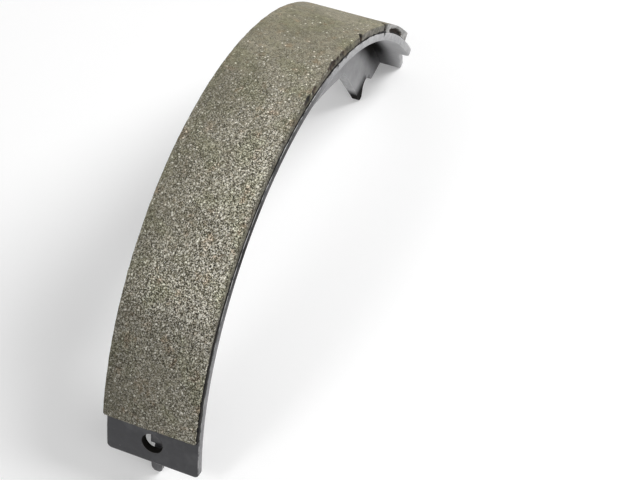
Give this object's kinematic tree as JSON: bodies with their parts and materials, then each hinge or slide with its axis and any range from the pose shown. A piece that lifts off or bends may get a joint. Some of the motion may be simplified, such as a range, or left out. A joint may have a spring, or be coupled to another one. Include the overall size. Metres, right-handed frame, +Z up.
{
  "type": "drum brake shoe",
  "caption": "Drum brake shoe: a curved steel table with a bonded friction lining outside and a flat steel web welded edge-on inside.",
  "frame": {"origin": "middle of the shoe's bounding box, at the surface it stands on", "axes": "+Z up through the crown of the lining; +X from the heel end with the hole to the toe end with the tongue; Y along the drum's axis, across the shoe, with the web's mid-plane at Y = 0"},
  "size_m": [0.2368, 0.0416, 0.0992],
  "materials": {
    "table_paint": "satin dark grey stoving paint, rubbed pale on the edges",
    "web_paint": "satin dark grey stoving paint with a few rubbed patches",
    "weld_paint": "painted over weld bead",
    "adhesive": "dull black cured adhesive",
    "lining": "ground moulded friction material with bright metal flecks and dark pits"
  },
  "bodies": {
    "root": {"shoe_table": "table_paint", "shoe_web": "web_paint", "web_welds": "weld_paint", "bond_film": "adhesive", "friction_lining": "lining"}
  },
  "joints": []
}
